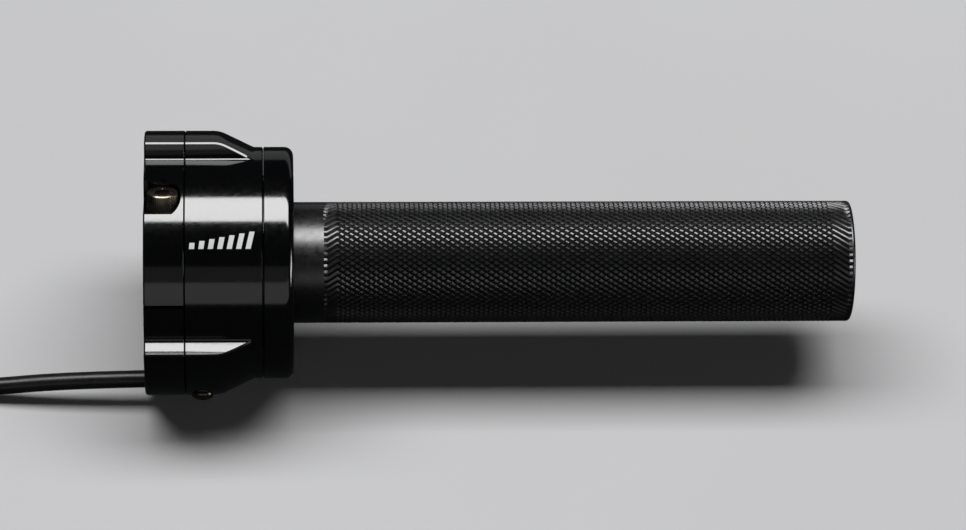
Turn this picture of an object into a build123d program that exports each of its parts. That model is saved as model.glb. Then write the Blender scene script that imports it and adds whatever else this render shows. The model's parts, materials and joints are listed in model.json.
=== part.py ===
from build123d import *
import math
import os

# Electronic twist throttle for a 22.2 mm handlebar, right-hand side.
# Frame: X runs along the bar, outboard is +X, +Y is forward, +Z is up.
# Origin: on the bar axis, in the inboard face of the clamp. Lengths in mm.
# Angles round the bar are counted from +Z and turn by the right hand about +X.

# ---- driving dimensions -------------------------------------------------
BAR_R = 11.1            # 22.2 mm handlebar
SHELL_R = 26.3          # round part of the housing
LOBE_R = 30.0           # crown of the two lobes
LOBE_HALF_WIDTH = 17.81  # at the crown's edge
SCALLOP_R = 8.0         # side walls are hollow, cut by a round cutter
CROWN_LEAN = 33.0       # lean of a side wall at the crown's edge
ROOT_R = 1.1
CROWN_BREAK = 0.3
LOBE_ANGLE = -55.2      # first lobe; the second is opposite
LOBE_FLAT_END = 16.9    # crown starts to slope down here
LOBE_FOOT = 25.2        # slope meets the round housing here
CLAMP_WIDTH = 9.3
HOUSING_END = 26.7
COLLAR_END = 33.5
GRIP_END = 160.4
GRIP_R = 13.75
RIM_R = 0.7             # outboard rim of the grip tube
CRISP = 0.35            # edge break on turned edges
SEAM = 0.05             # gap at a bolted joint between shells

SPLIT_ANGLE = -23.0     # the clamp screws point this way
SPLIT_GAP = 0.8
CLAMP_SCREW_X = 4.3
CLAMP_SCREW_OFFSET = 14.6
CLAMP_SEAT = 19.0       # height of the head seat above the bar axis
POCKET_R = 4.1
M4_R, M4_HEAD_R, M4_HEAD_H, M4_HEX = 1.95, 3.5, 4.0, 3.0
M4_LENGTH = 25.0
M4_HOLE_BOTTOM = -8.0   # depth of the tapped holes below the bar axis
M3_R, M3_HEAD_R, M3_HEAD_H, M3_HEX = 1.45, 2.75, 3.0, 2.5
HOLE_SLACK = 0.08

BASE_SCREW_ANGLES = (102.0, 171.0, 212.0)
BASE_SCREW_R = 23.2
BASE_SCREW_LENGTH = 14.0
COLLAR_SCREW_ANGLES = (-9.0, 81.0, 171.0, 261.0)
COLLAR_SCREW_R = 22.4
COLLAR_SCREW_THREAD_R = 1.2
COLLAR_SCREW_LENGTH = 10.5
COLLAR_HEAD_R, COLLAR_HEAD_H, COLLAR_HEX = 2.15, 1.8, 1.5

CAVITY_R = 19.8
WALL_IN = 11.2          # inner face of the housing's inboard wall
TUBE_IN = 11.95         # inboard end of the grip tube
TUBE_NECK_R = 12.9      # tube under the rotor ring
TUBE_SHOULDER = 23.7
TUBE_BORE_R = 11.9
BUSH_BORE_R = 11.16
BAR_BUSHES = {"inboard_bar_bush": (14.0, 38.0), "outboard_bar_bush": (134.0, 158.0)}
COLLAR_BORE_R = 15.6
SPIGOT_START = 24.35    # inner end of the collar, in the housing's cavity
O_RING_X = (24.8, 26.2)
KEEP_OFF = 0.3          # clearance between bodies that turn past each other

HOLDER_X = (11.3, 14.5)
BOARD_X = (14.5, 15.5)
SENSOR_X = (15.5, 16.5)
ROTOR_X = (17.2, 21.0)
ROTOR_R = 19.2
HUB_R = 15.2
SENSOR_R = 16.4
SENSOR_ANGLES = (116.0, 158.0)
MAGNET_ANGLES = (91.0, 133.0)
HOLDER_ARC = (96.0, 186.0)
TRAVEL = 70.0           # throttle rotation in degrees
STOP_ANGLE = -60.0
STOP_R = 16.4
STOP_PIN_R = 1.5
GRUB_R = 1.25
GRUB_ANGLES = (0.0, 180.0)
GRUB_X = 19.1
MAGNET_R, MAGNET_DEPTH = 1.5, 2.0
SPRING_R = 16.9
SPRING_WIRE_R = 0.5
SPRING_X = (21.75, 23.2)
SPRING_TURNS = 1.25
SPRING_FIXED_ANGLE = 40.0
SPRING_MOVING_ANGLE = SPRING_FIXED_ANGLE - 360 * SPRING_TURNS
TANG_HOLE_R = 0.75

NUB_ANGLE = LOBE_ANGLE + 181.2   # button-head screw in the crown of the second lobe
NUB_X = 12.9
NUB_HEAD_R, NUB_HEAD_H = 2.4, 1.3

CABLE_R = 2.0
EXIT_R = 26.7
EXIT_ANGLE = 143.6
GROMMET_R = 2.9
LEAD_IN_END = 12.6
LEADS_X = LEAD_IN_END - 0.4
LEADS_SLOT_R = 1.4
LEAD_WIRE_R = 0.32
FLOOR_Z = -LOBE_R * math.cos(math.radians(18.8))   # lowest edge of the lower lobe
LIE_Z = FLOOR_Z + CABLE_R

COIL_X, COIL_Y = -78.0, 14.0
COIL_OUTER, COIL_STEP, COIL_TURNS, COIL_POINTS = 28.0, 4.0, 6, 12


# ---- helpers -------------------------------------------------------------
def around(angle, radius, x=0.0):
    """The point at an angle round the bar and a distance from its axis."""
    a = math.radians(angle)
    return (x, -radius * math.sin(a), radius * math.cos(a))


def tube(r_out, r_in, x0, x1):
    """A plain sleeve on the bar axis."""
    section = Circle(r_out)
    if r_in:
        section -= Circle(r_in)
    return extrude(Plane.YZ.offset(x0) * section, amount=x1 - x0)


def rod(radius, angle, distance, x0, x1):
    """A round bar parallel to the axis, at an angle and distance from it."""
    _, y, z = around(angle, distance)
    return extrude(Plane.YZ.offset(x0) * Pos(y, z) * Circle(radius), amount=x1 - x0)


def spoke(radius, angle, r0, r1, x):
    """A round bar that stands out radially between two distances."""
    plane = Plane(around(angle, r0, x), x_dir=(1, 0, 0), z_dir=around(angle, 1))
    return extrude(plane * Circle(radius), amount=r1 - r0)


def sector(r_out, r_in, start, end, x0, x1):
    """A piece of a sleeve between two angles less than 120 degrees apart."""
    middle = (start + end) / 2
    half = math.radians((end - start) / 2)
    reach = 2 * r_out
    wedge = Polygon((0, 0), (reach, reach * math.tan(half)), (reach, -reach * math.tan(half)), align=None)
    ring = Circle(r_out) - Circle(r_in)
    return extrude(Plane.YZ.offset(x0) * (ring & Rot(0, 0, 90 + middle) * wedge), amount=x1 - x0)


def cap_screw(radius, length, head_r, head_h, hex_af, plane):
    """Socket cap screw: its seat lies in the plane, the head stands along +Z."""
    head = Cylinder(head_r, head_h, align=(Align.CENTER, Align.CENTER, Align.MIN))
    head = chamfer(head.edges().group_by(Axis.Z)[-1], 0.3)
    head -= Pos(0, 0, head_h / 2) * extrude(RegularPolygon(hex_af / 2, 6, major_radius=False), head_h)
    shank = Cylinder(radius, length, align=(Align.CENTER, Align.CENTER, Align.MAX))
    shank = chamfer(shank.edges().group_by(Axis.Z)[0], 0.4)
    return plane.location * (head + shank)


def save(node, *solids):
    """Write one node; several solids make a group."""
    shape = solids[0] if len(solids) == 1 else Compound(children=list(solids))
    shape.label = node
    export_step(shape, f"parts/{node}.step")


# ---- shells --------------------------------------------------------------
def lobed_blank():
    """The outside of clamp and housing: a turned body with two milled lobes."""
    outline = FilletPolyline(
        (0, LOBE_R), (LOBE_FLAT_END, LOBE_R), (LOBE_FOOT, SHELL_R - 0.3), (HOUSING_END, SHELL_R - 0.3),
        radius=6.0,
    )
    rest = Polyline((HOUSING_END, SHELL_R - 0.3), (HOUSING_END, 0), (0, 0), (0, LOBE_R))
    turned = revolve(Plane.XZ * make_face(outline + rest), Axis.X)
    across, height = scallop_centre()
    lobes = Rectangle(2 * LOBE_HALF_WIDTH, 3 * LOBE_R)
    for side, top in ((1, 1), (1, -1), (-1, 1), (-1, -1)):
        lobes -= Pos(side * across, top * height) * Circle(SCALLOP_R)
    section = Circle(SHELL_R) + lobes
    roots = [v for v in section.vertices() if abs(math.hypot(v.X, v.Y) - SHELL_R) < 0.01]
    section = fillet(roots, ROOT_R)
    blank = turned & extrude(Plane.YZ * Rot(0, 0, LOBE_ANGLE) * section, amount=HOUSING_END)
    blank = chamfer([e for e in blank.edges() if crown_edge(e)], CROWN_BREAK)
    return blank + tube(SHELL_R, 0, 0, HOUSING_END)


def scallop_centre():
    """Centre of the cutter that hollows a side wall: across the lobe, and above the bar axis."""
    lean = math.radians(CROWN_LEAN)
    crown_height = math.sqrt(LOBE_R ** 2 - LOBE_HALF_WIDTH ** 2)
    return LOBE_HALF_WIDTH + SCALLOP_R * math.cos(lean), crown_height - SCALLOP_R * math.sin(lean)


def on_side_wall(point):
    """True for a point on the hollow side wall of a lobe."""
    _, y, z = around(LOBE_ANGLE, 1)
    height = abs(point.Y * y + point.Z * z)
    across = abs(point.Y * z - point.Z * y)
    centre_across, centre_height = scallop_centre()
    return abs(math.hypot(across - centre_across, height - centre_height) - SCALLOP_R) < 0.03


def crown_edge(edge):
    """True on the long edges where a lobe's crown or slope meets its side wall."""
    ends = (edge @ 0, edge @ 1)
    outside = max(math.hypot(v.Y, v.Z) for v in ends) > SHELL_R + ROOT_R
    return abs(ends[0].X - ends[1].X) > 0.5 and outside and all(on_side_wall(v) for v in ends)


def slice_x(solid, x0, x1):
    """What lies between two stations along the bar."""
    return solid & Pos((x0 + x1) / 2, 0, 0) * Box(x1 - x0, 4 * LOBE_R, 4 * LOBE_R)


def break_edges(solid, x, size):
    """Break the outer edge of the flat end at a station."""
    face = min(solid.faces().filter_by(GeomType.PLANE), key=lambda f: abs(f.center().X - x) - f.area * 1e-4)
    return chamfer(face.outer_wire().edges(), size)


clamp_plane = Plane((0, 0, 0), x_dir=(1, 0, 0), z_dir=around(SPLIT_ANGLE, 1))


def clamp_halves(blank):
    """Cap and base of the split clamp, with screw holes and head pockets."""
    ring = break_edges(slice_x(blank, 0, CLAMP_WIDTH - SEAM), 0, CRISP)
    ring = break_edges(ring, CLAMP_WIDTH - SEAM, CRISP)
    ring -= tube(BAR_R, 0, -1, CLAMP_WIDTH + 1)
    depth = 2 * LOBE_R
    for side in (1, -1):
        y = side * CLAMP_SCREW_OFFSET
        mouth = Circle(POCKET_R) + Pos(-depth / 2, 0) * Rectangle(depth, 2 * POCKET_R)
        ring -= extrude(clamp_plane.offset(CLAMP_SEAT) * Pos(CLAMP_SCREW_X, y) * mouth, amount=depth)
        hole = Circle(M4_R + HOLE_SLACK)
        ring -= extrude(clamp_plane.offset(M4_HOLE_BOTTOM) * Pos(CLAMP_SCREW_X, y) * hole, amount=depth)
    for angle in BASE_SCREW_ANGLES:
        ring -= rod(M3_R + HOLE_SLACK, angle, BASE_SCREW_R, -1, CLAMP_WIDTH + 1)
        ring -= rod(M3_HEAD_R + 0.2, angle, BASE_SCREW_R, -1, M3_HEAD_H + 0.4)
    ring -= rod(GROMMET_R, EXIT_ANGLE, EXIT_R, -1, CLAMP_WIDTH + 1)
    big = Rectangle(3 * LOBE_R, 3 * LOBE_R)
    upper = ring & extrude(clamp_plane.offset(SPLIT_GAP / 2) * big, amount=depth)
    lower = ring & extrude(clamp_plane.offset(-SPLIT_GAP / 2) * big, amount=-depth)
    return upper, lower


def housing(blank):
    """Cup-shaped body that holds rotor, spring and sensor."""
    body = break_edges(slice_x(blank, CLAMP_WIDTH, HOUSING_END), HOUSING_END, CRISP)
    body -= tube(CAVITY_R, 0, WALL_IN, HOUSING_END + 1)
    body -= tube(BAR_R + 0.9, 0, CLAMP_WIDTH - 1, WALL_IN + 1)
    for angle in BASE_SCREW_ANGLES:
        body -= rod(M3_R + HOLE_SLACK, angle, BASE_SCREW_R, CLAMP_WIDTH - 1, 19)
    for angle in COLLAR_SCREW_ANGLES:
        thread_r = COLLAR_SCREW_THREAD_R + HOLE_SLACK
        body -= rod(thread_r, angle, COLLAR_SCREW_R, HOUSING_END - 6.5, HOUSING_END + 1)
    body -= rod(CABLE_R + 0.3, EXIT_ANGLE, EXIT_R, CLAMP_WIDTH - 1, LEAD_IN_END + 1)
    body -= spoke(LEADS_SLOT_R, EXIT_ANGLE, CAVITY_R - 1, EXIT_R, LEADS_X)
    body -= rod(STOP_PIN_R + 0.02, STOP_ANGLE, STOP_R, CLAMP_WIDTH - 1, WALL_IN + 1)
    body -= spoke(M3_R + HOLE_SLACK, NUB_ANGLE, CAVITY_R - 2, LOBE_R + 1, NUB_X)
    return body


def collar():
    """Turned end ring that closes the housing and carries the tube bush."""
    body = tube(SHELL_R, 0, HOUSING_END + SEAM, COLLAR_END)
    rim = body.edges().filter_by(GeomType.CIRCLE).sort_by(Axis.X)
    body = fillet(rim[-1], 2.0)
    body = chamfer(body.edges().filter_by(GeomType.CIRCLE).sort_by(Axis.X)[0], 0.2)
    body += tube(CAVITY_R - SEAM, 0, SPIGOT_START, HOUSING_END + SEAM)
    body -= tube(COLLAR_BORE_R, 0, SPIGOT_START - 1, COLLAR_END + 1)
    body -= tube(CAVITY_R + 1, CAVITY_R - 1.15, O_RING_X[0] - SEAM, O_RING_X[1] + SEAM)
    for angle in COLLAR_SCREW_ANGLES:
        hole = rod(COLLAR_SCREW_THREAD_R + HOLE_SLACK, angle, COLLAR_SCREW_R, HOUSING_END - 1, COLLAR_END + 1)
        body -= hole + rod(COLLAR_HEAD_R + 0.15, angle, COLLAR_SCREW_R, COLLAR_END - 2.0, COLLAR_END + 1)
    return body - rod(TANG_HOLE_R, SPRING_FIXED_ANGLE, SPRING_R, TUBE_SHOULDER, HOUSING_END)



# ---- turning parts -------------------------------------------------------
def grip_tube():
    """Metal grip tube: neck under the rotor ring, then the full diameter to its end."""
    body = tube(TUBE_NECK_R, 0, TUBE_IN, TUBE_SHOULDER) + tube(GRIP_R, 0, TUBE_SHOULDER, GRIP_END)
    rim = [e for e in body.edges().filter_by(GeomType.CIRCLE) if abs(e.center().X - GRIP_END) < 0.01]
    body = fillet(rim, RIM_R)
    body -= tube(TUBE_BORE_R, 0, TUBE_IN - 1, GRIP_END + 1)
    mouth = [e for e in body.edges().filter_by(GeomType.CIRCLE)
             if abs(e.center().X - GRIP_END) < 0.01 and e.radius < TUBE_BORE_R + 0.1]
    return chamfer(mouth, 0.4)


def rotor():
    """Ring on the tube neck with the magnets, the stop slot and a hub for the spring."""
    body = tube(ROTOR_R, 0, *ROTOR_X) + tube(HUB_R, 0, ROTOR_X[1], TUBE_SHOULDER - 0.02)
    body -= tube(TUBE_NECK_R + 0.02, 0, ROTOR_X[0] - 1, TUBE_SHOULDER + 1)
    room = math.degrees((STOP_PIN_R + 0.1) / STOP_R)
    start, end = STOP_ANGLE - TRAVEL - room, STOP_ANGLE + room
    body -= sector(STOP_R + 1.65, STOP_R - 1.65, start, end, ROTOR_X[0] - 1, ROTOR_X[0] + 2.4)
    for angle in MAGNET_ANGLES:
        body -= rod(MAGNET_R + 0.01, angle, SENSOR_R, ROTOR_X[0] - 1, ROTOR_X[0] + MAGNET_DEPTH)
    for angle in GRUB_ANGLES:
        body -= spoke(GRUB_R + 0.03, angle, TUBE_NECK_R - 1, ROTOR_R + 1, GRUB_X)
    return body - rod(TANG_HOLE_R, SPRING_MOVING_ANGLE, SPRING_R, ROTOR_X[0] + 1, ROTOR_X[1] + 1)



def return_spring():
    """Torsion spring round the hub, with one tang in the rotor and one in the collar."""
    x0, x1 = SPRING_X
    steps = 24
    points = []
    for i in range(steps + 1):
        t = i / steps
        points.append(around(SPRING_MOVING_ANGLE + 360 * SPRING_TURNS * t, SPRING_R, x0 + (x1 - x0) * t))
    coil_path = Spline(*points)
    coil = sweep(Plane(coil_path @ 0, z_dir=coil_path % 0) * Circle(SPRING_WIRE_R), path=coil_path)
    tang_in = rod(SPRING_WIRE_R, SPRING_MOVING_ANGLE, SPRING_R, ROTOR_X[1] - 2, x0 + 0.2)
    tang_out = rod(SPRING_WIRE_R, SPRING_FIXED_ANGLE, SPRING_R, x1 - 0.2, HOUSING_END - 0.8)
    return coil + tang_in + tang_out


# ---- sensor --------------------------------------------------------------
def sensor_holder():
    """Moulded arc that carries the board in the housing."""
    body = sector(CAVITY_R - 0.1, 13.8, *HOLDER_ARC, *HOLDER_X)
    body -= spoke(M3_R + 0.05, NUB_ANGLE, CAVITY_R - 5, CAVITY_R + 1, NUB_X)
    return body - spoke(LEADS_SLOT_R, EXIT_ANGLE, 17.4, CAVITY_R + 1, LEADS_X)


def nub_screw():
    """Button-head screw through the lower lobe into the sensor holder."""
    plane = Plane(around(NUB_ANGLE, LOBE_R + 0.02, NUB_X), x_dir=(1, 0, 0), z_dir=around(NUB_ANGLE, 1))
    head = Cylinder(NUB_HEAD_R, NUB_HEAD_H, align=(Align.CENTER, Align.CENTER, Align.MIN))
    head = fillet(head.edges().group_by(Axis.Z)[-1], 0.9)
    head -= Pos(0, 0, 0.6) * extrude(RegularPolygon(1.0, 6, major_radius=False), 2)
    shank = Cylinder(M3_R, LOBE_R - 16.4, align=(Align.CENTER, Align.CENTER, Align.MAX))
    return plane.location * (head + shank)


def hall_sensors():
    """Two sensor chips on the board, one as a spare channel."""
    chips = []
    for angle in SENSOR_ANGLES:
        _, y, z = around(angle, SENSOR_R)
        chip = Rot(0, 0, angle) * Rectangle(4.0, 3.0)
        face = Plane.YZ.offset(SENSOR_X[0]) * Pos(y, z) * chip
        chips.append(extrude(face, amount=SENSOR_X[1] - SENSOR_X[0]))
    return chips


def sensor_leads():
    """Three thin wires between the cable's inner end and the board."""
    wires = []
    for offset in (-2.6, 0.0, 2.6):
        wires.append(spoke(LEAD_WIRE_R, EXIT_ANGLE + offset, 18.0, 23.4, LEADS_X))
    return wires


# ---- cable ---------------------------------------------------------------
exit_point = around(EXIT_ANGLE, EXIT_R)
ROUTE_IN = [
    exit_point,
    (-18.0, exit_point[1] + 0.1, exit_point[2] - 0.5),
    (-38.0, -14.6, -25.6),
    (-58.0, -14.0, LIE_Z),
    (COIL_X, -14.0, LIE_Z),
]
ROUTE_OUT = [
    (COIL_X, -14.0, LIE_Z + 2 * CABLE_R),
    (COIL_X - 22.0, -14.6, LIE_Z + 3.6),
    (COIL_X - 42.0, -16.6, LIE_Z + 1.4),
    (COIL_X - 58.0, -18.6, LIE_Z + 1.4),
]


def coil_points():
    """Centres of the turns: three turns inwards on the surface, three back out on top."""
    points = []
    for i in range(COIL_TURNS * COIL_POINTS + 1):
        turn = i / COIL_POINTS
        inward = min(turn, COIL_TURNS - turn)
        radius = COIL_OUTER - COIL_STEP * inward
        angle = math.radians(-90 - 360 * turn)
        lift = 2 * CABLE_R * min(1.0, max(0.0, (turn - COIL_TURNS / 2 + 0.5)))
        points.append((COIL_X + radius * math.cos(angle), COIL_Y + radius * math.sin(angle), LIE_Z + lift))
    return points


def rounded_path(points):
    """Straight runs joined by tangent arcs, each as large as its two runs allow."""
    runs = [Vector(b) - Vector(a) for a, b in zip(points, points[1:])]
    edges = []
    start = Vector(points[0])
    for i in range(1, len(points) - 1):
        before, after = runs[i - 1], runs[i]
        turn = math.radians(before.get_angle(after))
        reach = 0.45 * min(before.length, after.length)
        radius = reach / math.tan(turn / 2)
        corner = Vector(points[i])
        a = corner - before.normalized() * reach
        b = corner + after.normalized() * reach
        toward = (b - corner).normalized() + (a - corner).normalized()
        centre = corner + toward.normalized() * math.hypot(radius, reach)
        middle = centre + (corner - centre).normalized() * radius
        edges.append(Line(start, a))
        edges.append(ThreePointArc(a, middle, b))
        start = b
        print(f"  bend {i}: {math.degrees(turn):.1f} degrees, radius {radius:.0f} mm")
    edges.append(Line(start, Vector(points[-1])))
    return Wire(edges)


def cable_solid(points):
    """Round cable along a route."""
    path = rounded_path(points)
    solid = sweep(Plane(path @ 0, z_dir=path % 0) * Circle(CABLE_R), path=path)
    share = solid.volume / (math.pi * CABLE_R ** 2 * path.length)
    print(f"  cable length {path.length:.1f} mm, volume is {share:.3f} of section times length")
    return solid


def cable_coil():
    """The wound cable as one plain ring."""
    turns = [Vector(p) for p in coil_points()]
    print(f"cable in the coil: {sum((b - a).length for a, b in zip(turns, turns[1:])):.0f} mm")
    inner = COIL_OUTER - COIL_STEP * COIL_TURNS / 2 - CABLE_R
    ring = Circle(COIL_OUTER + CABLE_R) - Circle(inner)
    return extrude(Plane.XY.offset(FLOOR_Z) * Pos(COIL_X, COIL_Y) * ring, amount=4 * CABLE_R)


def coil_tie():
    """Strap of the cable tie round all the turns, at the back of the coil."""
    middle = COIL_OUTER - COIL_STEP * COIL_TURNS / 4
    width = COIL_STEP * COIL_TURNS / 2 + 2 * CABLE_R
    around_turns = Rectangle(width + 2.4, 4 * CABLE_R + 2.4) - Rectangle(width + 0.4, 4 * CABLE_R + 0.4)
    plane = Plane((COIL_X - 1.5, COIL_Y + middle, FLOOR_Z + 2 * CABLE_R), x_dir=(0, 1, 0), z_dir=(1, 0, 0))
    strap = extrude(plane * around_turns, amount=3.0)
    keep = Pos(COIL_X, COIL_Y, FLOOR_Z + 50) * Box(200, 200, 100)
    lock = Pos(COIL_X, COIL_Y + middle + 4, FLOOR_Z + 4 * CABLE_R + 2.6) * Box(4.6, 4.4, 3.2)
    return (strap & keep) + lock


CONNECTOR = (22.0, 11.0, 8.0)


def connector():
    """Three-way sealed plug: body, rear seal and terminals."""
    end = Vector(ROUTE_OUT[-1])
    back = (end - Vector(ROUTE_OUT[-2])).normalized()
    length, width, height = CONNECTOR
    axis = Plane((end.X, end.Y, FLOOR_Z + height / 2), x_dir=back, z_dir=(0, 0, 1))
    body = Pos(3 + length / 2, 0, 0) * Box(length, width, height)
    body = fillet(body.edges().filter_by(Axis.X), 1.2)
    body -= Pos(3 + length - 4, 0, 0) * Box(9, width - 2.4, height - 2.4)
    latch = Pos(3 + length - 7, 0, height / 2 + 0.5) * Box(9, 4, 1.0)
    body += latch
    seal_height = axis.to_local_coords(end).Z
    cone = Cone(CABLE_R + 0.5, 3.1, 3.0, align=(Align.CENTER, Align.CENTER, Align.MIN))
    seal = Pos(0, 0, seal_height) * Rot(0, 90, 0) * cone
    pins = []
    for y in (-2.5, 0, 2.5):
        pins.append(axis.location * (Pos(3 + length - 4.5, y, 0) * Box(8, 0.9, 0.9)))
    return axis.location * body, axis.location * seal, pins


# ---- build ---------------------------------------------------------------
os.makedirs("parts", exist_ok=True)
blank = lobed_blank()
cap, base = clamp_halves(blank)
save("clamp_cap", cap)
save("clamp_base", base)
seats = clamp_plane.offset(CLAMP_SEAT + 0.02)
screw_planes = [seats * Pos(CLAMP_SCREW_X, side * CLAMP_SCREW_OFFSET) for side in (1, -1)]
m4 = (M4_R, M4_LENGTH, M4_HEAD_R, M4_HEAD_H, M4_HEX)
save("clamp_screws", *[cap_screw(*m4, Plane(p)) for p in screw_planes])
save("housing_body", housing(blank))
save("end_collar", collar())

base_screws = []
for angle in BASE_SCREW_ANGLES:
    seat = Plane(around(angle, BASE_SCREW_R, M3_HEAD_H + 0.38), x_dir=(0, 1, 0), z_dir=(-1, 0, 0))
    base_screws.append(cap_screw(M3_R, BASE_SCREW_LENGTH, M3_HEAD_R, M3_HEAD_H, M3_HEX, seat))
save("clamp_base_screws", *base_screws)

collar_screws = []
for angle in COLLAR_SCREW_ANGLES:
    seat = Plane(around(angle, COLLAR_SCREW_R, COLLAR_END - 1.98), x_dir=(0, 1, 0), z_dir=(1, 0, 0))
    screw = (COLLAR_SCREW_THREAD_R, COLLAR_SCREW_LENGTH, COLLAR_HEAD_R, COLLAR_HEAD_H, COLLAR_HEX)
    collar_screws.append(cap_screw(*screw, seat))
save("collar_screws", *collar_screws)

save("collar_o_ring", tube(CAVITY_R - 0.02, CAVITY_R - 1.1, *O_RING_X))
save("tube_wiper_seal", tube(COLLAR_BORE_R - 0.02, GRIP_R + 0.2, COLLAR_END - 1.6, COLLAR_END - 0.2))
save("collar_bush", tube(COLLAR_BORE_R - 0.02, GRIP_R + 0.06, SPIGOT_START, COLLAR_END - 1.7))
save("outer_thrust_washer", tube(16.1, GRIP_R + KEEP_OFF, TUBE_SHOULDER + 0.1, SPIGOT_START - 0.05))
save("inner_thrust_washer", tube(TUBE_NECK_R, BAR_R + 0.5, WALL_IN + 0.02, TUBE_IN - 0.05))
save("stop_pin", rod(STOP_PIN_R, STOP_ANGLE, STOP_R, CLAMP_WIDTH + 0.1, ROTOR_X[0] + 1.8))
save("sensor_holder", sensor_holder())
save("sensor_holder_screw", nub_screw())
board = sector(CAVITY_R - 0.5, 13.9, HOLDER_ARC[0] + 2, HOLDER_ARC[1] - 2, *BOARD_X)
save("sensor_board", board)
save("hall_sensors", *hall_sensors())
save("sensor_leads", *sensor_leads())
grommet = rod(GROMMET_R - 0.02, EXIT_ANGLE, EXIT_R, 0, 8.9)
save("cable_grommet", grommet - rod(CABLE_R, EXIT_ANGLE, EXIT_R, -1, 10))
save("cable_lead_in", rod(CABLE_R, EXIT_ANGLE, EXIT_R, 0, LEAD_IN_END))
save("return_spring", return_spring())

save("grip_tube", grip_tube())
save("rotor_ring", rotor())
save("rotor_grub_screws", *[spoke(GRUB_R, a, TUBE_NECK_R + 0.02, ROTOR_R - 0.6, GRUB_X) for a in GRUB_ANGLES])
magnet_x = (ROTOR_X[0], ROTOR_X[0] + MAGNET_DEPTH - SEAM)
save("rotor_magnets", *[rod(MAGNET_R, a, SENSOR_R, *magnet_x) for a in MAGNET_ANGLES])
for node, span in BAR_BUSHES.items():
    save(node, tube(TUBE_BORE_R, BUSH_BORE_R, *span))

print("cable in:")
save("throttle_cable", cable_solid(ROUTE_IN))
print("cable out:")
save("cable_tail", cable_solid(ROUTE_OUT))
save("cable_coil", cable_coil())
save("coil_tie", coil_tie())
plug, plug_seal, plug_pins = connector()
save("connector_body", plug)
save("connector_seal", plug_seal)
save("connector_terminals", *plug_pins)
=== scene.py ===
import json
import math

import bmesh
import bpy
from mathutils import Matrix, Vector


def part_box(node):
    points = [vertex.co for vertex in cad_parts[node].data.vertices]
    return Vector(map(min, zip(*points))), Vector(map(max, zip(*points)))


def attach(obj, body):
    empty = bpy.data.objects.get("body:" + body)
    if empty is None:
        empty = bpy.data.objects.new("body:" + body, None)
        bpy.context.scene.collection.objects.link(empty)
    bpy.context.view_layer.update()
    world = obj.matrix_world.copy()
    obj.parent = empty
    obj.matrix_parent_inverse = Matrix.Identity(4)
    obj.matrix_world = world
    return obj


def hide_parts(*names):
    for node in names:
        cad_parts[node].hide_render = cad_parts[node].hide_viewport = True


# Looks of the twist throttle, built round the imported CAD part. Lengths are in metres.
# X runs along the bar, outboard is +X, +Y is forward and +Z is up.
# Angles round the bar are counted from +Z and turn by the right hand about +X.

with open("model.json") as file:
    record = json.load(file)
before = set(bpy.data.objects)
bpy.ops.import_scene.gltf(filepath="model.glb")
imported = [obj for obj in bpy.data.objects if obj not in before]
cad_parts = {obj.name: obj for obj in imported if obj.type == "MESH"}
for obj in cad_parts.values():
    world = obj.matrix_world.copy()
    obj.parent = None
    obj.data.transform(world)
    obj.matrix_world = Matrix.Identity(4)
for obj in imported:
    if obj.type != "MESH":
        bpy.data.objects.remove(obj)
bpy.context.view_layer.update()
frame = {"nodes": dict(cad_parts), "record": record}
MM = 0.001
FIXED, TURNING = "throttle_body", "twist_grip"


def around(angle, radius, x=0.0):
    """The point at an angle round the bar, in degrees, and a distance from its axis."""
    a = math.radians(angle)
    return Vector((x, -radius * math.sin(a), radius * math.cos(a)))


# ---- camera --------------------------------------------------------------
CAMERA_AZIMUTH = math.radians(-4.0)
CAMERA_ELEVATION = math.radians(45.0)
CAMERA_ROLL = math.radians(2.65)
CAMERA_DISTANCE = 1.0336
CAMERA_LENS, CAMERA_SENSOR = 169.0, 36.0
CAMERA_AIM = Vector((76.7 * MM, 0, 0))
AIM_DROP = 0.7 * MM      # the bar axis is a little above the middle of the picture


def add_camera():
    data = bpy.data.cameras.new("camera")
    data.lens = CAMERA_LENS
    data.sensor_width = CAMERA_SENSOR
    data.clip_start = 0.05
    camera = bpy.data.objects.new("camera", data)
    bpy.context.scene.collection.objects.link(camera)
    flat = math.cos(CAMERA_ELEVATION)
    x, y = flat * math.sin(CAMERA_AZIMUTH), -flat * math.cos(CAMERA_AZIMUTH)
    back = Vector((x, y, math.sin(CAMERA_ELEVATION)))
    level = Vector((math.cos(CAMERA_AZIMUTH), math.sin(CAMERA_AZIMUTH), 0))
    roll = Matrix.Rotation(CAMERA_ROLL, 3, back)
    right = roll @ level
    up = back.cross(right)
    turn = Matrix((right, up, back)).transposed().to_4x4()
    place = CAMERA_AIM - AIM_DROP * up + CAMERA_DISTANCE * back
    camera.matrix_world = Matrix.Translation(place) @ turn
    bpy.context.scene.camera = camera


add_camera()

# ---- the cable's route ---------------------------------------------------
CABLE_R = 2.0 * MM
LOBE_R = 30.0 * MM
LOBE_FOOT_ANGLE = 18.8   # from straight down to the lower lobe's lowest edge
FLOOR_Z = -LOBE_R * math.cos(math.radians(LOBE_FOOT_ANGLE))
LIE_Z = FLOOR_Z + CABLE_R
EXIT_ANGLE, EXIT_R = 143.6, 26.7 * MM
EXIT = around(EXIT_ANGLE, EXIT_R)
COIL_X, COIL_Y = -78.0 * MM, 14.0 * MM
COIL_OUTER, COIL_STEP, COIL_TURNS, COIL_POINTS = 28.0 * MM, 4.0 * MM, 6, 12

ROUTE_IN = [
    (EXIT.x, EXIT.y, EXIT.z),
    (-0.0180, EXIT.y + 0.0001, EXIT.z - 0.0005),
    (-0.0380, -0.0146, -0.0256),
    (-0.0580, -0.0140, LIE_Z),
]
ROUTE_OUT = [
    (COIL_X - 0.0220, -0.0146, LIE_Z + 0.0036),
    (COIL_X - 0.0420, -0.0166, LIE_Z + 0.0014),
    (COIL_X - 0.0580, -0.0186, LIE_Z + 0.0014),
]


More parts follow.
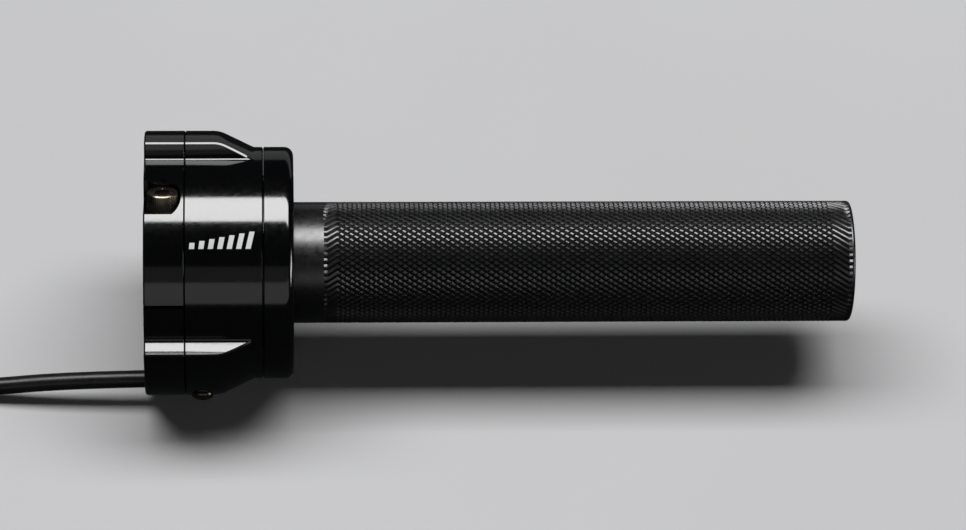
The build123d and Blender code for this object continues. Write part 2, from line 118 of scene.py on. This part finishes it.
def coil_points():
    """Three turns inwards on the surface, then three back out on top of them."""
    points = []
    for i in range(COIL_TURNS * COIL_POINTS + 1):
        turn = i / COIL_POINTS
        inward = min(turn, COIL_TURNS - turn)
        radius = COIL_OUTER - COIL_STEP * inward
        angle = math.radians(-90 - 360 * turn)
        lift = 2 * CABLE_R * min(1.0, max(0.0, turn - COIL_TURNS / 2 + 0.5))
        x, y = COIL_X + radius * math.cos(angle), COIL_Y + radius * math.sin(angle)
        points.append((x, y, LIE_Z + lift))
    return points


# ---- materials -----------------------------------------------------------
def new_material(name):
    material = bpy.data.materials.new(name)
    material.use_nodes = True
    nodes = material.node_tree.nodes
    shader = next(n for n in nodes if n.type == "BSDF_PRINCIPLED")
    return material, nodes, material.node_tree.links, shader


def object_coordinates(nodes, links, stretch=(1, 1, 1)):
    """Coordinates in metres in the piece's own frame, stretched along the axes."""
    where = nodes.new("ShaderNodeTexCoord")
    mapping = nodes.new("ShaderNodeMapping")
    mapping.inputs["Scale"].default_value = stretch
    links.new(where.outputs["Object"], mapping.inputs["Vector"])
    return mapping.outputs["Vector"]


def noise(nodes, links, vector, scale, detail=3.0, rough=0.55):
    texture = nodes.new("ShaderNodeTexNoise")
    texture.inputs["Scale"].default_value = scale
    texture.inputs["Detail"].default_value = detail
    texture.inputs["Roughness"].default_value = rough
    links.new(vector, texture.inputs["Vector"])
    return texture.outputs["Fac"]


def spread(nodes, links, value, low, high):
    """A noise value stretched over a range of numbers."""
    span = nodes.new("ShaderNodeMapRange")
    span.inputs["From Min"].default_value = 0.3
    span.inputs["From Max"].default_value = 0.7
    span.inputs["To Min"].default_value = low
    span.inputs["To Max"].default_value = high
    links.new(value, span.inputs["Value"])
    return span.outputs["Result"]


def two_colours(nodes, links, value, first, second):
    ramp = nodes.new("ShaderNodeValToRGB")
    ramp.color_ramp.elements[0].position = 0.35
    ramp.color_ramp.elements[1].position = 0.68
    ramp.color_ramp.elements[0].color = (*first, 1)
    ramp.color_ramp.elements[1].color = (*second, 1)
    links.new(value, ramp.inputs["Fac"])
    return ramp.outputs["Color"]


def add_bump(nodes, links, height, distance, strength=1.0, under=None):
    bump = nodes.new("ShaderNodeBump")
    bump.inputs["Distance"].default_value = distance
    bump.inputs["Strength"].default_value = strength
    links.new(height, bump.inputs["Height"])
    if under is not None:
        links.new(under, bump.inputs["Normal"])
    return bump.outputs["Normal"]


def finish_of(name, first, second, metallic, rough, ior=1.5, grain=4000, depth=2e-6,
              lines=None, cloud=90):
    """A procedural finish: clouded colour and gloss, fine grain, and turned lines if asked for."""
    material, nodes, links, shader = new_material(name)
    plain = object_coordinates(nodes, links)
    patches = noise(nodes, links, plain, cloud, 4.0)
    links.new(two_colours(nodes, links, patches, first, second), shader.inputs["Base Color"])
    gloss = noise(nodes, links, plain, cloud * 9, 3.0)
    links.new(spread(nodes, links, gloss, *rough), shader.inputs["Roughness"])
    shader.inputs["Metallic"].default_value = metallic
    shader.inputs["IOR"].default_value = ior
    normal = add_bump(nodes, links, noise(nodes, links, plain, grain, 2.0), depth)
    if lines:
        pitch, height = lines
        long = object_coordinates(nodes, links, (1 / pitch, 40, 40))
        normal = add_bump(nodes, links, noise(nodes, links, long, 1.0, 2.0), height, under=normal)
    links.new(normal, shader.inputs["Normal"])
    return material


def slot_materials():
    """One finish for each material slot of the record."""
    black, near_black = (0.0005, 0.0006, 0.0008), (0.001, 0.0011, 0.0013)
    return {
        "black_anodised": finish_of("anodised", black, near_black, 0.0, (0.08, 0.13), 2.0,
                                    5200, 1.1e-6, (0.00011, 7e-7)),
        "bare_aluminium": finish_of("aluminium", (0.62, 0.62, 0.63), (0.74, 0.74, 0.75), 1.0,
                                    (0.24, 0.36), 1.5, 6000, 2e-6, (0.00012, 1.5e-6)),
        "steel_screw": finish_of("screw_steel", (0.16, 0.13, 0.095), (0.32, 0.275, 0.21), 1.0,
                                 (0.2, 0.36), 1.5, 7000, 3e-6, None, 400),
        "black_oxide_steel": finish_of("black_oxide", (0.03, 0.03, 0.032), (0.06, 0.06, 0.063), 1.0,
                                       (0.3, 0.42), 1.5, 7000, 3e-6),
        "spring_steel": finish_of("spring_steel", (0.4, 0.4, 0.41), (0.55, 0.55, 0.55), 1.0,
                                  (0.22, 0.34), 1.5, 7000, 1e-6),
        "magnet_plating": finish_of("nickel", (0.66, 0.66, 0.65), (0.78, 0.77, 0.75), 1.0,
                                    (0.12, 0.2), 1.5, 5000, 1e-6),
        "acetal": finish_of("acetal", (0.72, 0.71, 0.66), (0.82, 0.81, 0.77), 0.0,
                            (0.35, 0.45), 1.48, 3000, 3e-6, (0.00015, 1.5e-6)),
        "black_plastic": finish_of("black_nylon", (0.012, 0.012, 0.013), (0.02, 0.02, 0.021), 0.0,
                                   (0.36, 0.5), 1.5, 3500, 1.2e-5),
        "board_laminate": finish_of("laminate", (0.01, 0.12, 0.045), (0.02, 0.18, 0.07), 0.0,
                                    (0.2, 0.3), 1.5, 5000, 2e-6),
        "lead_insulation": finish_of("insulation", (0.36, 0.02, 0.015), (0.5, 0.04, 0.03), 0.0,
                                     (0.35, 0.45), 1.5, 4000, 2e-6),
        "black_rubber": finish_of("rubber", (0.011, 0.011, 0.011), (0.022, 0.022, 0.022), 0.0,
                                  (0.5, 0.66), 1.5, 3500, 1e-5),
        "cable_jacket": finish_of("jacket", (0.006, 0.006, 0.0065), (0.011, 0.011, 0.0115), 0.0,
                                  (0.26, 0.36), 1.5, 2600, 6e-6),
        "terminal_brass": finish_of("brass", (0.62, 0.45, 0.18), (0.76, 0.58, 0.27), 1.0,
                                    (0.2, 0.3), 1.5, 5000, 1e-6),
    }


finishes = slot_materials()
knurl_finish = finish_of("knurled_anodised", (0.002, 0.0022, 0.0026), (0.004, 0.0043, 0.0048), 0.0,
                         (0.26, 0.36), 2.0, 5200, 1.5e-6)
for part in frame["record"]["subparts"]:
    node = frame["nodes"][part["node"]]
    node.data.materials.clear()
    node.data.materials.append(finishes[part["material_slot"]])


# ---- mesh helpers --------------------------------------------------------
def mesh_piece(name, points, faces, slot, body, sharp=30.0, material=None):
    """A closed mesh piece with smooth faces and sharp corners, riding on a body."""
    mesh = bpy.data.meshes.new(name)
    mesh.from_pydata([tuple(p) for p in points], [], faces)
    shape = bmesh.new()
    shape.from_mesh(mesh)
    bmesh.ops.recalc_face_normals(shape, faces=shape.faces)
    shape.to_mesh(mesh)
    shape.free()
    mesh.shade_smooth()
    mesh.set_sharp_from_angle(angle=math.radians(sharp))
    mesh.materials.append(material or finishes[slot])
    piece = bpy.data.objects.new(name, mesh)
    bpy.context.scene.collection.objects.link(piece)
    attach(piece, body)
    return piece


class Skin:
    """Points and faces of a surface made ring by ring."""

    def __init__(self):
        self.points = []
        self.faces = []

    def ring(self, points):
        start = len(self.points)
        self.points.extend(points)
        return list(range(start, len(self.points)))

    def join(self, first, second):
        """Quads between two rings with as many points."""
        count = len(first)
        for k in range(count):
            n = (k + 1) % count
            self.faces.append((first[k], first[n], second[n], second[k]))

    def close(self, ring, centre):
        """A fan from a ring to one point."""
        self.points.append(centre)
        tip = len(self.points) - 1
        count = len(ring)
        for k in range(count):
            self.faces.append((ring[k], ring[(k + 1) % count], tip))

    def chain(self, rings):
        for first, second in zip(rings, rings[1:]):
            self.join(first, second)


# ---- cable ---------------------------------------------------------------
def add_cable():
    data = bpy.data.curves.new("control_cable", "CURVE")
    data.dimensions = "3D"
    route = ROUTE_IN + coil_points() + ROUTE_OUT
    spline = data.splines.new("NURBS")
    spline.points.add(len(route) - 1)
    for point, place in zip(spline.points, route):
        point.co = (*place, 1)
    spline.order_u = 3
    spline.use_endpoint_u = True
    data.resolution_u = 10
    data.bevel_depth = CABLE_R
    data.bevel_resolution = 8
    data.use_fill_caps = True
    data.materials.append(finishes["cable_jacket"])
    cable = bpy.data.objects.new("control_cable", data)
    bpy.context.scene.collection.objects.link(cable)
    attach(cable, FIXED)
    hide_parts("throttle_cable", "cable_coil", "cable_tail")


add_cable()


# ---- knurled grip --------------------------------------------------------
GRIP_R = 13.75 * MM
GRIP_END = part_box("grip_tube")[1][0]
GRIP_BORE_R = 11.9 * MM
GRIP_IN = 11.95 * MM
NECK_R = 12.9 * MM
SHOULDER = 23.7 * MM
RIM_FILLET = 0.7 * MM
MOUTH_CHAMFER = 0.4 * MM
KNURL_STARTS = 62
KNURL_HALF_PITCH = 1.08 * MM
KNURL_DEPTH = 0.5 * MM
KNURL_LONG = 0.58         # a diamond's flat top along the second helix, as a share of the cell
KNURL_SHORT = 0.28        # and along the first helix, shorter as the second's grooves are wider
KNURL_FROM = 43.3 * MM    # both helices are cut from here
KNURL_ROWS = 104
LEAD_LENGTH = 2.3 * MM    # only the first helix is cut here
TAIL_LENGTH = 3.35 * MM   # only the second helix is cut here
RUN_OUT = 0.7 * MM        # length over which the grooves fade
KNURL_STEP = 180.0 / KNURL_STARTS
KNURL_ROOT_R = GRIP_R - KNURL_DEPTH
KNURL_TWIST = KNURL_STEP / KNURL_HALF_PITCH    # degrees that a groove turns in a metre
KNURL_NEAR = (KNURL_LONG - KNURL_SHORT) / 2    # a flat top's corners, in cells from its middle
KNURL_FAR = (KNURL_LONG + KNURL_SHORT) / 2
LEAD_RINGS, TAIL_RINGS, RIM_RINGS = 4, 5, 6
SHOULDER_CHAMFER = 0.1 * MM


def knurl_point(row, column, radius):
    return around(column * KNURL_STEP, radius, KNURL_FROM + row * KNURL_HALF_PITCH)


def knurl_ring(skin, x, radius, root, twist=0.0):
    """A ring across the ridges: in each cell a groove point and the two edges of a ridge."""
    points = []
    for cell in range(KNURL_STARTS):
        for place, r in ((0, root), (1 - KNURL_SHORT, radius), (1 + KNURL_SHORT, radius)):
            points.append(around((2 * cell + place) * KNURL_STEP + twist, r, x))
    return skin.ring(points)


def knurl_field(skin, first, last):
    """The diamonds between two rings, each a low pyramid with a flat top."""
    columns = 2 * KNURL_STARTS
    near, far = KNURL_NEAR, KNURL_FAR
    grooves = {}
    for k in range(KNURL_STARTS):
        grooves[0, 2 * k] = first[3 * k]
        grooves[KNURL_ROWS, 2 * k] = last[3 * k]
    for row in range(1, KNURL_ROWS):
        for column in range(row % 2, columns, 2):
            grooves[row, column] = len(skin.points)
            skin.points.append(knurl_point(row, column, KNURL_ROOT_R))
    for row in range(KNURL_ROWS + 1):
        for column in range(1 - row % 2, columns, 2):
            low = grooves[row, (column - 1) % columns]
            high = grooves[row, (column + 1) % columns]
            if row in (0, KNURL_ROWS):
                half_diamond(skin, row, column, low, high, first if row == 0 else last, grooves)
                continue
            corners = (grooves[row + 1, column], high, grooves[row - 1, column], low)
            offsets = ((far, near), (near, far), (-far, -near), (-near, -far))
            top = skin.ring([knurl_point(row + a, column + b, GRIP_R) for a, b in offsets])
            for k in range(4):
                n = (k + 1) % 4
                skin.faces.append((corners[k], corners[n], top[n], top[k]))
            skin.faces.append(tuple(top))


def half_diamond(skin, row, column, low, high, edge, grooves):
    """A diamond cut in half by the first or last ring of the field."""
    side = 1 if row == 0 else -1
    if side < 0:
        low, high = high, low
    cell = (column - 1) // 2
    cut_low, cut_high = edge[3 * cell + 1], edge[3 * cell + 2]
    if side < 0:
        cut_low, cut_high = cut_high, cut_low
    tip = grooves[row + side, column]
    far, near = side * KNURL_FAR, side * KNURL_NEAR
    offsets = ((far, near), (near, far))
    inner = skin.ring([knurl_point(row + a, column + b, GRIP_R) for a, b in offsets])
    skin.faces.append((low, tip, inner[0], cut_low))
    skin.faces.append((tip, high, inner[1], inner[0]))
    skin.faces.append((high, cut_high, inner[1]))
    skin.faces.append((cut_low, inner[0], inner[1], cut_high))


def inner_end(skin, first):
    """Rings from the knurl's first ring down the plain stretch, over the shoulder and the neck."""
    rings = [first]
    for k in range(1, LEAD_RINGS + 1):
        back = LEAD_LENGTH * k / LEAD_RINGS
        rings.append(knurl_ring(skin, KNURL_FROM - back, GRIP_R, KNURL_ROOT_R, KNURL_TWIST * back))
    start = KNURL_FROM - LEAD_LENGTH
    outline = [
        (start - RUN_OUT, GRIP_R),
        (0.5 * (start + SHOULDER), GRIP_R),
        (SHOULDER + SHOULDER_CHAMFER, GRIP_R),
        (SHOULDER, GRIP_R - SHOULDER_CHAMFER),
        (SHOULDER, NECK_R),
        (GRIP_IN, NECK_R),
        (GRIP_IN, GRIP_BORE_R),
    ]
    twist = KNURL_TWIST * LEAD_LENGTH
    return rings + [knurl_ring(skin, x, r, r, twist) for x, r in outline]


def outer_end(skin, last, end):
    """Rings from the knurl's last ring round the rim and into the bore."""
    rings = [last]
    for k in range(1, TAIL_RINGS + 1):
        on = TAIL_LENGTH * k / TAIL_RINGS
        rings.append(knurl_ring(skin, end + on, GRIP_R, KNURL_ROOT_R, KNURL_TWIST * on))
    outline = [(end + TAIL_LENGTH + RUN_OUT, GRIP_R)]
    for k in range(RIM_RINGS + 1):
        a = math.radians(90 * k / RIM_RINGS)
        x = GRIP_END - RIM_FILLET * (1 - math.sin(a))
        outline.append((x, GRIP_R - RIM_FILLET * (1 - math.cos(a))))
    outline.append((GRIP_END, GRIP_BORE_R + MOUTH_CHAMFER))
    outline.append((GRIP_END - MOUTH_CHAMFER, GRIP_BORE_R))
    outline.append((SHOULDER, GRIP_BORE_R))
    twist = KNURL_TWIST * TAIL_LENGTH
    return rings + [knurl_ring(skin, x, r, r, twist) for x, r in outline]


def add_grip():
    skin = Skin()
    first = knurl_ring(skin, KNURL_FROM, GRIP_R, KNURL_ROOT_R)
    lead = inner_end(skin, first)
    knurl_end = KNURL_FROM + KNURL_ROWS * KNURL_HALF_PITCH
    last = knurl_ring(skin, knurl_end, GRIP_R, KNURL_ROOT_R)
    far = outer_end(skin, last, knurl_end)
    skin.chain(lead)
    skin.chain(far)
    skin.join(lead[-1], far[-1])
    knurl_field(skin, first, last)
    grip = mesh_piece("knurled_grip_tube", skin.points, skin.faces, "black_anodised", TURNING,
                      material=knurl_finish)
    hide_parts("grip_tube")


add_grip()

# ---- screws --------------------------------------------------------------
SCREW_POINTS = 96
SCREW_SHARP = 25
HEAD_FLUTE = 0.09 * MM
HEAD_CHAMFER = 0.25 * MM
FLUTE_RUN_IN, FLUTE_RUN_OUT = 0.15 * MM, 0.25 * MM
SHANK_CHAMFER = 0.4 * MM
HEX_CORNER = 1.155       # a hexagon's radius to a corner, over its radius to a flat
SOCKET_LIP, SOCKET_LEAD = 0.15 * MM, 0.12 * MM
SOCKET_CONE = 0.2 * MM
DOME_ANGLE, DOME_RINGS, DOME_FULLNESS = 70, 8, 0.9
BUTTON_RIM = 0.25 * MM
BUTTON_LEAD = 0.06 * MM
BUTTON_FLOOR, BUTTON_CONE = 0.6 * MM, 0.1 * MM

CLAMP_SCREW = {"shank_r": 1.95 * MM, "length": 25.0 * MM, "head_r": 3.5 * MM, "head_h": 4.0 * MM,
               "hexagon": 3.0 * MM}
BASE_SCREW = {"shank_r": 1.45 * MM, "length": 14.0 * MM, "head_r": 2.75 * MM, "head_h": 3.0 * MM,
              "hexagon": 2.5 * MM}
COLLAR_SCREW = {"shank_r": 1.2 * MM, "length": 10.5 * MM, "head_r": 2.15 * MM, "head_h": 1.8 * MM,
                "hexagon": 1.5 * MM}
NUB_SCREW = {"shank_r": 1.45 * MM, "length": 13.6 * MM, "head_r": 2.4 * MM, "head_h": 1.3 * MM,
             "hexagon": 2.0 * MM}
CLAMP_SCREW_ANGLE = -23.0
CLAMP_SCREW_X, CLAMP_SCREW_ACROSS = 4.3 * MM, 14.6 * MM
CLAMP_SEAT = 19.02 * MM  # above the bar axis
BASE_SCREW_ANGLES = (102.0, 171.0, 212.0)
BASE_SCREW_R, BASE_SEAT_X = 23.2 * MM, 3.38 * MM
COLLAR_SCREW_ANGLES = (-9.0, 81.0, 171.0, 261.0)
COLLAR_SCREW_R, COLLAR_SEAT_DEPTH = 22.4 * MM, 1.98 * MM
NUB_ANGLE, NUB_SEAT_R, NUB_X = 126.0, 30.02 * MM, 12.9 * MM


def screw_ring(skin, base, out, side, r, h, hexagon=False, flutes=0.0):
    """A ring round a screw's axis: round, six-sided, or fluted."""
    other = out.cross(side)
    points = []
    for k in range(SCREW_POINTS):
        a = 2 * math.pi * k / SCREW_POINTS
        reach = r
        if hexagon:
            reach = r / math.cos((a + math.pi / 6) % (math.pi / 3) - math.pi / 6)
        elif flutes and k % 2:
            reach = r - flutes
        points.append(base + h * out + reach * (math.cos(a) * side + math.sin(a) * other))
    return skin.ring(points)


def cap_screw(skin, base, out, shank_r, length, head_r, head_h, hexagon):
    """Socket cap screw with a fluted head, from its seat's centre outwards."""
    out = out.normalized()
    side = Vector((1, 0, 0)) if abs(out.x) < 0.5 else Vector((0, 1, 0))
    half, floor = hexagon / 2, head_h / 2
    flutes_end = head_h - HEAD_CHAMFER - FLUTE_RUN_OUT
    rings = [
        screw_ring(skin, base, out, side, shank_r - SHANK_CHAMFER, -length),
        screw_ring(skin, base, out, side, shank_r, -length + SHANK_CHAMFER),
        screw_ring(skin, base, out, side, shank_r, 0),
        screw_ring(skin, base, out, side, head_r - HEAD_FLUTE, 0),
        screw_ring(skin, base, out, side, head_r, FLUTE_RUN_IN, flutes=HEAD_FLUTE),
        screw_ring(skin, base, out, side, head_r, flutes_end, flutes=HEAD_FLUTE),
        screw_ring(skin, base, out, side, head_r - HEAD_FLUTE, head_h - HEAD_CHAMFER),
        screw_ring(skin, base, out, side, head_r - HEAD_FLUTE - HEAD_CHAMFER, head_h),
        screw_ring(skin, base, out, side, half * HEX_CORNER + SOCKET_LIP, head_h),
        screw_ring(skin, base, out, side, half, head_h - SOCKET_LEAD, hexagon=True),
        screw_ring(skin, base, out, side, half, floor, hexagon=True),
    ]
    skin.chain(rings)
    skin.close(rings[0], base - length * out)
    skin.close(rings[-1], base + (floor - SOCKET_CONE) * out)


def button_screw(skin, base, out, shank_r, length, head_r, head_h, hexagon):
    """Button-head screw with a hex socket."""
    out = out.normalized()
    side = Vector((1, 0, 0))
    rings = [
        screw_ring(skin, base, out, side, shank_r, -length),
        screw_ring(skin, base, out, side, shank_r, 0),
        screw_ring(skin, base, out, side, head_r, 0),
    ]
    dome = math.sin(math.radians(DOME_ANGLE))
    for k in range(DOME_RINGS + 1):
        a = math.radians(DOME_ANGLE * k / DOME_RINGS)
        h = BUTTON_RIM + (head_h - BUTTON_RIM) * math.sin(a) / dome
        rings.append(screw_ring(skin, base, out, side, head_r * math.cos(a) ** DOME_FULLNESS, h))
    for h in (head_h - BUTTON_LEAD, BUTTON_FLOOR):
        rings.append(screw_ring(skin, base, out, side, hexagon / 2, h, hexagon=True))
    skin.chain(rings)
    skin.close(rings[0], base - length * out)
    skin.close(rings[-1], base + (BUTTON_FLOOR - BUTTON_CONE) * out)


def screw_piece(name, skin, node):
    """One piece for a group of screws, in the place of their CAD node."""
    piece = mesh_piece(name, skin.points, skin.faces, "steel_screw", FIXED, SCREW_SHARP)
    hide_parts(node)


def add_screws():
    along = Vector((1, 0, 0))
    clamp = Skin()
    up = around(CLAMP_SCREW_ANGLE, 1)
    for side in (1, -1):
        base = CLAMP_SEAT * up + CLAMP_SCREW_X * along
        base += side * CLAMP_SCREW_ACROSS * up.cross(along)
        cap_screw(clamp, base, up, **CLAMP_SCREW)
    screw_piece("clamp_cap_screws", clamp, "clamp_screws")

    inner = Skin()
    for angle in BASE_SCREW_ANGLES:
        cap_screw(inner, around(angle, BASE_SCREW_R, BASE_SEAT_X), -along, **BASE_SCREW)
    screw_piece("base_cap_screws", inner, "clamp_base_screws")

    outer = Skin()
    collar_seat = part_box("end_collar")[1][0] - COLLAR_SEAT_DEPTH
    for angle in COLLAR_SCREW_ANGLES:
        cap_screw(outer, around(angle, COLLAR_SCREW_R, collar_seat), along, **COLLAR_SCREW)
    screw_piece("collar_cap_screws", outer, "collar_screws")

    nub = Skin()
    seat = around(NUB_ANGLE, NUB_SEAT_R, NUB_X)
    button_screw(nub, seat, around(NUB_ANGLE, 1), **NUB_SCREW)
    screw_piece("button_screw", nub, "sensor_holder_screw")


add_screws()

# ---- laser marks ---------------------------------------------------------
SHELL_R = 26.3 * MM
MARK_COUNT = 7
MARK_FROM, MARK_TO = 10.2 * MM, 24.8 * MM
MARK_LOW, MARK_HIGH = 38.3, 29.8        # bar angles of the lower and upper ends
MARK_SHORTEST = 0.25     # share of the full height to which each bar's own share is added
MARK_WIDTH = 0.55        # share of the step from bar to bar
MARK_SKEW = 0.9 * MM
MARK_THICK = 0.02 * MM
MARK_ROWS = 5


def add_marks():
    """A row of slanted bars that rise to the right, lasered through the black finish."""
    skin = Skin()
    step = (MARK_TO - MARK_FROM) / MARK_COUNT
    width = MARK_WIDTH * step
    for k in range(MARK_COUNT):
        share = (k + 1) / MARK_COUNT
        x = MARK_FROM + k * step
        top = MARK_LOW + (MARK_HIGH - MARK_LOW) * (MARK_SHORTEST + (1 - MARK_SHORTEST) * share)
        loops = []
        for row in range(MARK_ROWS + 1):
            f = row / MARK_ROWS
            angle = MARK_LOW + (top - MARK_LOW) * f
            lean = MARK_SKEW * f * share
            loop = [around(angle, SHELL_R - MARK_THICK, x + lean)]
            loop.append(around(angle, SHELL_R + MARK_THICK, x + lean))
            loop.append(around(angle, SHELL_R + MARK_THICK, x + lean + width))
            loop.append(around(angle, SHELL_R - MARK_THICK, x + lean + width))
            loops.append(skin.ring(loop))
        skin.chain(loops)
        skin.faces.append(tuple(loops[0]))
        skin.faces.append(tuple(reversed(loops[-1])))
    white = finish_of("laser_mark", (0.66, 0.66, 0.66), (0.8, 0.8, 0.8), 0.0,
                      (0.5, 0.65), 1.5, 6000, 4e-6)
    mesh_piece("laser_marks", skin.points, skin.faces, "bare_aluminium", FIXED, 40, white)


add_marks()


# ---- stage ---------------------------------------------------------------
FLOOR_SIZE = 4.0
LIGHT_DISTANCE = 1.2


def add_floor():
    """A plain pale floor, left out of the black finish's reflections."""
    mesh = bpy.data.meshes.new("floor")
    shape = bmesh.new()
    bmesh.ops.create_grid(shape, x_segments=8, y_segments=8, size=FLOOR_SIZE)
    shape.to_mesh(mesh)
    shape.free()
    floor = bpy.data.objects.new("floor", mesh)
    floor.location = (0, 0, FLOOR_Z)
    bpy.context.scene.collection.objects.link(floor)
    material, nodes, links, shader = new_material("pale_floor")
    plain = object_coordinates(nodes, links)
    clouds = noise(nodes, links, plain, 3.0)
    pale = two_colours(nodes, links, clouds, (0.55, 0.55, 0.56), (0.59, 0.59, 0.6))
    links.new(pale, shader.inputs["Base Color"])
    shader.inputs["Roughness"].default_value = 0.9
    mesh.materials.append(material)
    floor.visible_glossy = False


def add_softbox(name, towards, width, height, power):
    """A rectangular light in a direction from the camera's aim, with its width level."""
    out = Vector(towards).normalized()
    side = Vector((0, 0, 1)).cross(out).normalized()
    data = bpy.data.lights.new(name, "AREA")
    data.shape = "RECTANGLE"
    data.size = width
    data.size_y = height
    data.energy = power
    light = bpy.data.objects.new(name, data)
    turn = Matrix((side, out.cross(side), out)).transposed().to_4x4()
    light.matrix_world = Matrix.Translation(CAMERA_AIM + LIGHT_DISTANCE * out) @ turn
    bpy.context.scene.collection.objects.link(light)


def across_bar(elevation):
    """A direction square to the bar. Elevation is counted from the camera's side upwards."""
    a = math.radians(elevation)
    return (0, -math.cos(a), math.sin(a))


def add_world():
    world = bpy.data.worlds.new("studio")
    world.use_nodes = True
    sky = world.node_tree.nodes["Background"]
    sky.inputs["Color"].default_value = (0.9, 0.95, 1.0, 1)
    sky.inputs["Strength"].default_value = 0.012
    bpy.context.scene.world = world
    bpy.context.scene.view_settings.view_transform = "Standard"


add_floor()
add_softbox("overhead", across_bar(99.0), width=1.8, height=0.56, power=20.0)
add_softbox("front_fill", across_bar(15.0), width=2.4, height=0.46, power=0.85)
add_softbox("back_fill", across_bar(180.0), width=2.0, height=0.5, power=0.48)
add_softbox("front_upper", across_bar(34.0), width=2.4, height=0.3, power=0.14)
add_softbox("right_side", (1.0, -0.14, 0.05), width=0.42, height=0.26, power=1.7)
add_world()
